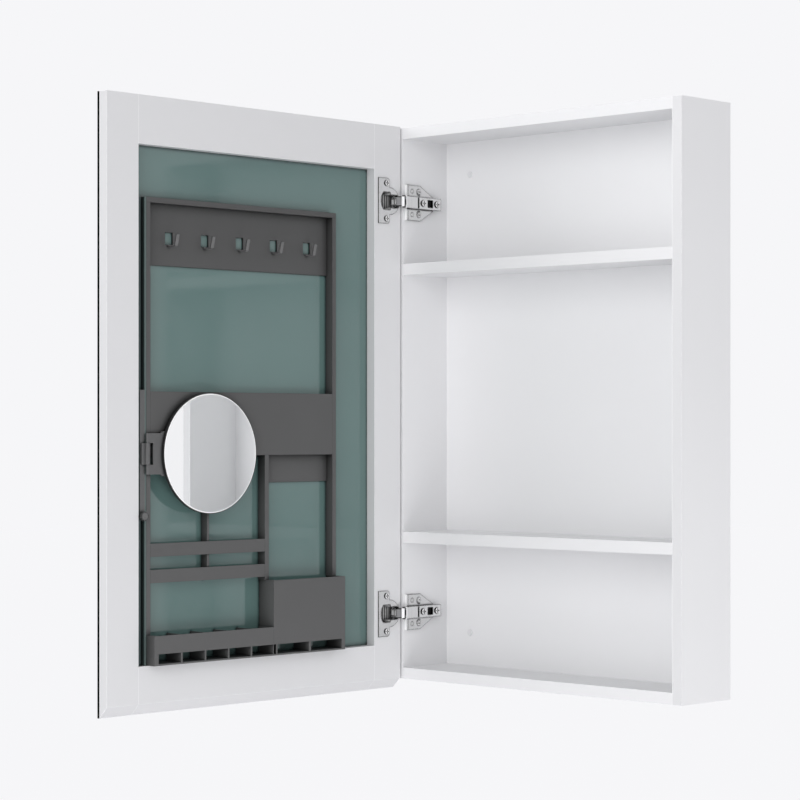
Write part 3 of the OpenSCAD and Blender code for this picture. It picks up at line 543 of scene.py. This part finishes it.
def under_the_arm(tree):
    """The ridge of a mounting plate, which only shows through the square hole of the arm, painted black as
    shade.
    """
    place = place_on_object(tree)
    plate_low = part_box("upper_hinge_plate")[0]
    high = calculate(tree, "GREATER_THAN", place["X"], plate_low.x + RIDGE_ABOVE_PLATE)
    behind = calculate(tree, "GREATER_THAN", place["Y"], plate_low.y + RIDGE_BEHIND_FRONT)
    return calculate(tree, "MULTIPLY", high, behind)


def rims(tree):
    """The upper and lower rims of a link, where shade is painted black."""
    return calculate(tree, "GREATER_THAN", off_centre(tree), RIM_FROM_MIDDLE)


def tip(tree):
    """The very end of an arm, turned down out of the light, where its shade is painted black."""
    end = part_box("upper_hinge_arm")[0].y
    return calculate(tree, "LESS_THAN", place_on_object(tree)["Y"], end + TIP_LENGTH)


def strip(tree, end, middle, half_width):
    """A strip across a piece, its middle this far behind an end."""
    from_end = calculate(tree, "SUBTRACT", place_on_object(tree)["Y"], end)
    return calculate(tree, "COMPARE", from_end, middle, half_width)


def front_faces(tree, cut):
    """The front edge of a mounting plate, painted white as a highlight and given no metal."""
    return cut["Front"], WHITE


def nose(tree, cut):
    """The curled nose of an arm, painted white as a highlight."""
    return strip(tree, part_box("upper_hinge_arm")[0].y, *NOSE_STRIP), WHITE


def heel(tree, cut):
    """The end of a link next to the nose of the arm, painted white as a highlight."""
    return strip(tree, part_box("upper_outer_link")[1].y, *HEEL_STRIP), WHITE


def inside_the_cup(tree, cut):
    """Everything below the flange of a cup, painted in stripes as the reflections of its walls in each other,
    with painted shade in its corners.
    """
    place = place_on_object(tree)
    angle = calculate(tree, "MULTIPLY_ADD", place["Y"], 2 * math.pi / STRIPE_PITCH, STRIPE_START)
    wave = calculate(tree, "MULTIPLY_ADD", calculate(tree, "SINE", angle), 0.5, 0.5)
    striped = mix_colours(tree, wave, grey(0.05), grey(0.62))
    deep = place_group(tree, corners, Color=striped, Shade_Color=BLACK, Reach=0.005, Start=0.2, Strength=2.0)
    below = calculate(tree, "LESS_THAN", place["X"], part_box("upper_hinge_cup")[1].x - FLANGE_DEPTH)
    return below, deep["Color"]


print("hinges at heights", [round(h, 4) for h in HINGE_HEIGHTS])

# %% [markdown]
# ## Nickel and dark steel on the hinges
# The plates, arms and cups are pressed steel with bright nickel on it, which mirrors the white room. Where it
# faces a dark gap or a recess it is painted nearly black as shade, and rounded edges get a painted dark grey
# line. Some ends and front edges are painted white as a highlight and given no metal, so they stay white from
# every side. The screws are duller, so they stay pale, with painted shade in their slots. The links are
# phosphated steel, with shade painted black along their upper and lower rims.

# %% Make the hinge metals
def metal(name, colour, dull, roughness=0.2, drift=0.14, outline=GREY, front=WHITE, edge=BLACK, reach=0.004,
          width=0.0018, relief=0.000012, shine=1.0, dark=None, bare=None):
    """Plated steel. The places that dark gives are painted black as shade, and those that bare gives get
    painted light and no metal.
    """
    shade = grey(0.01)
    finish, tree, shader = start_finish(name, Metallic=shine)
    base = place_group(tree, drawn, Color=colour, Dull_Color=dull, Line_Size=0.00035, Roughness=roughness,
                       Roughness_Drift=drift)
    # Painted edge lines, painted tones on the front and upper and lower faces, and painted corner shade
    # follow.
    lined = place_group(tree, edges, Color=base["Color"], Edge_Color=outline, Width=width, Strength=3.5)
    cut = place_group(tree, faces, Color=lined["Color"], Front_Color=front, Edge_Color=edge)
    plain = cut["Color"] if dark is None else mix_colours(tree, dark(tree), cut["Color"], shade)
    ready = place_group(tree, corners, Color=plain, Shade_Color=shade, Reach=reach, Start=0.12,
                        Strength=2.2)["Color"]
    if bare is not None:
        painted_light_place, painted_light_colour = bare(tree, cut)
        ready = mix_colours(tree, painted_light_place, ready, painted_light_colour)
        tree.links.new(calculate(tree, "MULTIPLY_ADD", painted_light_place, -shine, shine), shader.inputs["Metallic"])
    tree.links.new(ready, shader.inputs["Base Color"])
    tree.links.new(base["Roughness"], shader.inputs["Roughness"])
    add_relief(tree, shader, base["Height"], relief)
    return finish


NICKEL, DULL_NICKEL = grey(0.80), grey(0.74)
PRESSED_NICKEL, DULL_PRESSED_NICKEL = grey(0.74), grey(0.68)
plate_nickel = metal("nickel on plates", PRESSED_NICKEL, DULL_PRESSED_NICKEL, dark=under_the_arm,
                     bare=front_faces)
arm_nickel = metal("nickel on arms", NICKEL, DULL_NICKEL, dark=tip, bare=nose)
pin_nickel = metal("bright nickel", NICKEL, DULL_NICKEL)
cup_nickel = metal("nickel on cups", PRESSED_NICKEL, DULL_PRESSED_NICKEL, front=GREY, edge=GREY, reach=0.003,
                   bare=inside_the_cup)
screw_nickel = metal("nickel on screws", WHITE, (0.90, 0.90, 0.89, 1), roughness=0.22, outline=BLACK,
                     front=GREY, width=0.0007, shine=0.4)
dark_steel = metal("dark pressed steel", (0.33, 0.33, 0.335, 1), (0.22, 0.22, 0.225, 1), roughness=0.34,
                   drift=0.2, outline=grey(0.04), front=grey(0.5), width=0.0014, relief=0.00002,
                   dark=rims, bare=heel)
spring_steel = metal("spring steel", grey(0.60), grey(0.45), roughness=0.3, drift=0.2, outline=BLACK,
                     front=GREY, edge=GREY, reach=0.003, width=0.0008)
print("hinge metals made")

# %% [markdown]
# ### The pieces of the hinges
# Plates, arms, cups and links are named by hinge. Screws, pins and springs of one kind are one piece for
# both hinges. Only the broad pressed pieces get eased edges, because the small ones are outlined enough.

# %% Dress the hinges
dress(plate_nickel, *(hinge + "hinge_plate" for hinge in HINGES))
dress(arm_nickel, *(hinge + "hinge_arm" for hinge in HINGES))
dress(pin_nickel, "hinge_arm_pins", "hinge_cup_pins")
dress(cup_nickel, *(hinge + "hinge_cup" for hinge in HINGES))
dress(screw_nickel, "hinge_plate_screws", "hinge_arm_screws", "hinge_cup_screws")
dress(dark_steel, *(hinge + link for hinge in HINGES for link in ("outer_link", "inner_link")))
dress(spring_steel, "closing_springs")
pressed = [hinge + n for hinge in HINGES for n in ("hinge_plate", "hinge_arm", "hinge_cup")]
ease_edges(0.00025, *pressed)
print("eased the edges of", len(pressed), "pressed pieces")

# %% [markdown]
# ## The door mirror
# A mirror is float glass silvered on its far face. Its front is a clean mirror, its edge is dark
# because you look into the thickness of the glass, and its back is sealed with a grey-green paint that
# dries as glossy as glass. All three are on one sheet, so one material finds them by the depth in the
# sheet. Object coordinates travel with the door, so the finish stays where it belongs when it turns.

# %% Make the door mirror
FACE_DEPTH = 0.00005
COAT, SPECULAR = 0.6, 0.5
mirror_low, mirror_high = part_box("mirror_glass")
door_mirror, tree, shader = start_finish("silvered glass with a painted back", IOR=1.52, Coat_Roughness=0.02)
depth = place_on_object(tree)["X"]
painted = calculate(tree, "GREATER_THAN", depth, mirror_high.x - FACE_DEPTH)
silvered = calculate(tree, "LESS_THAN", depth, mirror_low.x + FACE_DEPTH)
paint = place_group(tree, uneven, Color=(0.105, 0.179, 0.169, 1), Tint=(0.120, 0.198, 0.187, 1),
                    Grain_Size=0.0006, Patch_Size=0.08, Drift=0.6, Roughness=0.06, Roughness_Drift=0.03)
# Shade is painted darker into the back paint where it meets the tidy and the frame.
shaded = place_group(tree, corners, Color=paint["Color"], Shade_Color=(0.018, 0.032, 0.031, 1), Reach=0.006,
                     Start=0.08, Strength=2.4)
on_edge = mix_colours(tree, painted, (0.003, 0.004, 0.004, 1), shaded["Color"])
tree.links.new(mix_colours(tree, silvered, on_edge, (0.93, 0.945, 0.94, 1)), shader.inputs["Base Color"])
tree.links.new(silvered, shader.inputs["Metallic"])
polished = calculate(tree, "MAXIMUM", painted, silvered)
tree.links.new(calculate(tree, "MULTIPLY", polished, COAT), shader.inputs["Coat Weight"])
tree.links.new(calculate(tree, "MULTIPLY", polished, SPECULAR), shader.inputs["Specular IOR Level"])
not_silvered = calculate(tree, "SUBTRACT", 1.0, silvered)
tree.links.new(calculate(tree, "MULTIPLY", paint["Roughness"], not_silvered), shader.inputs["Roughness"])
add_relief(tree, shader, calculate(tree, "MULTIPLY", paint["Height"], painted), depth=0.000001)
dress(door_mirror, "mirror_glass")
print("mirror sheet is", round((mirror_high.x - mirror_low.x) * 1000, 1), "mm thick")

# %% [markdown]
# ## The magnifying mirror
# The small mirror has a ground edge that scatters light, seen as a thin bright line round the glass. It
# magnifies because its face is a little hollow: less than a tenth of a millimetre, so the shape stays
# flat and the normal leans towards the middle by a small amount for every metre from it. The whole
# glass also sits slightly askew, which is one more lean that is the same everywhere.

# %% Make the magnifier
GROUND_WIDTH = 0.0014
LEAN, HOLLOW = -0.0054, 0.025
magnifier_low, magnifier_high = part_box("magnifier_glass")
magnifier_middle = (magnifier_low + magnifier_high) / 2
polished_radius = (magnifier_high.y - magnifier_low.y) / 2 - GROUND_WIDTH
magnifier_silver, tree, shader = start_finish("magnifier silver")
place = place_on_object(tree)
aside = calculate(tree, "SUBTRACT", place["Y"], magnifier_middle.y)
above = calculate(tree, "SUBTRACT", place["Z"], magnifier_middle.z)
from_middle = calculate(tree, "SQRT", calculate(tree, "ADD", calculate(tree, "MULTIPLY", aside, aside),
                                                calculate(tree, "MULTIPLY", above, above)))
face = calculate(tree, "LESS_THAN", from_middle, polished_radius)
ground = place_group(tree, uneven, Color=grey(0.98), Tint=(0.90, 0.91, 0.91, 1), Grain_Size=0.0003,
                     Patch_Size=0.02, Drift=0.6, Roughness=0.3, Roughness_Drift=0.2)
tree.links.new(mix_colours(tree, face, ground["Color"], (0.95, 0.955, 0.955, 1)), shader.inputs["Base Color"])
tree.links.new(face, shader.inputs["Metallic"])
not_face = calculate(tree, "SUBTRACT", 1.0, face)
tree.links.new(calculate(tree, "MULTIPLY", ground["Roughness"], not_face), shader.inputs["Roughness"])
hollow = tree.nodes.new("ShaderNodeCombineXYZ")
hollow.inputs["X"].default_value = 1
tree.links.new(calculate(tree, "MULTIPLY_ADD", aside, -HOLLOW, LEAN), hollow.inputs["Y"])
tree.links.new(calculate(tree, "MULTIPLY", above, -HOLLOW), hollow.inputs["Z"])
turned = tree.nodes.new("ShaderNodeVectorTransform")
turned.vector_type = "NORMAL"
turned.convert_from = "OBJECT"
turned.convert_to = "WORLD"
tree.links.new(hollow.outputs[0], turned.inputs[0])
real = tree.nodes.new("ShaderNodeNewGeometry")
either_normal = tree.nodes.new("ShaderNodeMix")
either_normal.data_type = "VECTOR"
tree.links.new(face, either_normal.inputs[0])
tree.links.new(real.outputs["Normal"], either_normal.inputs[4])
tree.links.new(turned.outputs[0], either_normal.inputs[5])
tree.links.new(either_normal.outputs[1], shader.inputs["Normal"])
dress(magnifier_silver, "magnifier_glass")
print("magnifier is", round((magnifier_high.y - magnifier_low.y) * 1000, 1), "mm across")

# %% [markdown]
# ## Dark satin plastic
# The tidy is moulded in a dark grey plastic whose mould was etched to a fine satin. Shade is painted into its
# corners twice, with a wide reach for the hollows and a short one for the tight joins, and its edges get
# painted lines. In the picture the tidy gets a little darker towards its top, so painted shade grows slowly
# with height.

# %% Write the recipe for dark plastic
SHADED_FROM, SHADED_TO, SHADED_SHARE = -0.3, 0.25, 0.3
SEAM_SHADE_REACH = 0.0045


def dark_plastic(name, colour, tint, roughness, edge, shade, reach, edge_width=0.0007, strength=1.5,
                 seam_shade=2.2, edge_line_strength=0.6, paint=None):
    """Satin plastic with painted edge lines and painted shade. The function paint may colour some places
    last.
    """
    finish, tree, shader = start_finish(name, Specular_IOR_Level=0.4)
    base = place_group(tree, uneven, Color=colour, Tint=tint, Grain_Size=0.00035, Patch_Size=0.05, Drift=0.5,
                       Roughness=roughness, Roughness_Drift=0.1)
    edge_lined = place_group(tree, edges, Color=base["Color"], Edge_Color=edge, Width=edge_width, Strength=edge_line_strength)
    place = place_on_object(tree)
    height = tree.nodes.new("ShaderNodeMapRange")
    height.inputs["From Min"].default_value = SHADED_FROM
    height.inputs["From Max"].default_value = SHADED_TO
    tree.links.new(place["Z"], height.inputs[0])
    # Painted shade grows with height, then is painted into the hollows and the tight joins.
    higher = calculate(tree, "MULTIPLY", height.outputs[0], SHADED_SHARE)
    shaded = mix_colours(tree, higher, edge_lined["Color"], shade)
    deep = place_group(tree, corners, Color=shaded, Shade_Color=shade, Reach=reach, Start=0.12,
                       Strength=strength)
    seam_shaded = place_group(tree, corners, Color=deep["Color"], Shade_Color=shade, Reach=SEAM_SHADE_REACH, Start=0.2,
                         Strength=seam_shade)
    ready = seam_shaded["Color"] if paint is None else paint(tree, seam_shaded["Color"], place)
    tree.links.new(ready, shader.inputs["Base Color"])
    tree.links.new(base["Roughness"], shader.inputs["Roughness"])
    add_relief(tree, shader, base["Height"], depth=0.00003)
    return finish


print("recipe written")

# %% [markdown]
# ### The tidy, the slider and the knob
# The hooks, the slider and the knob are painted lighter than the tidy, as painted light, and the ring that
# holds the round mirror is nearly black. Small pieces get a painted outline: dark shade on the hooks and the
# knob, a pale highlight on the slider.

# %% Dress the tidy, the slider and the knob
tidy_plastic = dark_plastic("dark grey satin plastic", grey(0.106), grey(0.096), 0.5, grey(0.030),
                            grey(0.010), 0.035, edge_line_strength=1.2)
holder_plastic = dark_plastic("black holder plastic", grey(0.030), grey(0.024), 0.5, grey(0.010),
                              grey(0.004), 0.006)
slider_plastic = dark_plastic("slider plastic", (0.125, 0.125, 0.126, 1), (0.112, 0.112, 0.113, 1), 0.42,
                              grey(0.24), (0.012, 0.014, 0.014, 1), 0.006, edge_width=0.0014)
knob_plastic = dark_plastic("knob plastic", (0.150, 0.150, 0.151, 1), (0.130, 0.130, 0.131, 1), 0.42,
                            (0.010, 0.012, 0.012, 1), (0.008, 0.010, 0.010, 1), 0.006, edge_width=0.0030,
                            edge_line_strength=4.0)
hook_plastic = dark_plastic("hook plastic", grey(0.205), grey(0.190), 0.45, grey(0.018), grey(0.010), 0.004,
                            edge_width=0.0016, edge_line_strength=3.0)
hooks = [f"hook_{n}" for n in range(1, 6)]
moulding = ["tidy_top_member", "tidy_hinge_side_member", "tidy_free_side_member", "hook_panel",
            "middle_pocket_band", "middle_pocket_floor", "back_plate", "upright_divider", "upper_slim_band",
            "lower_slim_band", "small_divider", "side_pocket", "tray"]
slider_parts = ["slider_bar", "swing_bracket"]
dress(tidy_plastic, *moulding)
dress(hook_plastic, *hooks)
dress(slider_plastic, *slider_parts)
dress(knob_plastic, "slider_knob")
dress(holder_plastic, "mirror_holder")
ease_edges(0.0004, *hooks, *slider_parts)
print("dark plastic on", len(moulding) + len(hooks) + len(slider_parts) + 2, "pieces")

# %% [markdown]
# ### The slide rail
# The rail is a dark channel between two paler lips. Light reaches only the near part of the channel, so the
# channel is painted nearly black as shade except in its near part, which gets a painted lit tone, and the two
# lips get two painted tones of light. These stripes run along the rail, so two distances across it find them.

# %% Dress the slide rail
CHANNEL_DEPTH, NEAR_PART, LIP_THICKNESS = 0.0048, 0.009, 0.0002
# Painted shade in the channel, and painted light on its near part and on the lips.
CHANNEL_SHADE = (0.0030, 0.0065, 0.0065, 1)
NEAR_LIP, FAR_LIP = (0.066, 0.092, 0.092, 1), (0.098, 0.132, 0.127, 1)


def rail_stripes(tree, colour, place):
    """Lips on top of the rail in two painted tones of light, and a channel between them painted black as
    shade except in its near part.
    """
    rail_low, rail_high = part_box("slide_rail")
    deep_down = calculate(tree, "LESS_THAN", place["X"], rail_high.x - CHANNEL_DEPTH)
    on_top = calculate(tree, "GREATER_THAN", place["X"], rail_high.x - LIP_THICKNESS)
    near = calculate(tree, "LESS_THAN", place["Y"], rail_low.y + NEAR_PART)
    floor_colour = mix_colours(tree, near, CHANNEL_SHADE, NEAR_LIP)
    lip_colour = mix_colours(tree, near, FAR_LIP, NEAR_LIP)
    lipped = mix_colours(tree, on_top, colour, lip_colour)
    return mix_colours(tree, deep_down, lipped, floor_colour)


rail_plastic = dark_plastic("rail plastic", (0.042, 0.062, 0.060, 1), (0.038, 0.056, 0.054, 1), 0.45,
                            (0.05, 0.07, 0.068, 1), (0.010, 0.014, 0.014, 1), 0.004, strength=0.6,
                            seam_shade=0.0, paint=rail_stripes)
dress(rail_plastic, "slide_rail")
ease_edges(0.0004, "slide_rail")
print("rail plastic made")
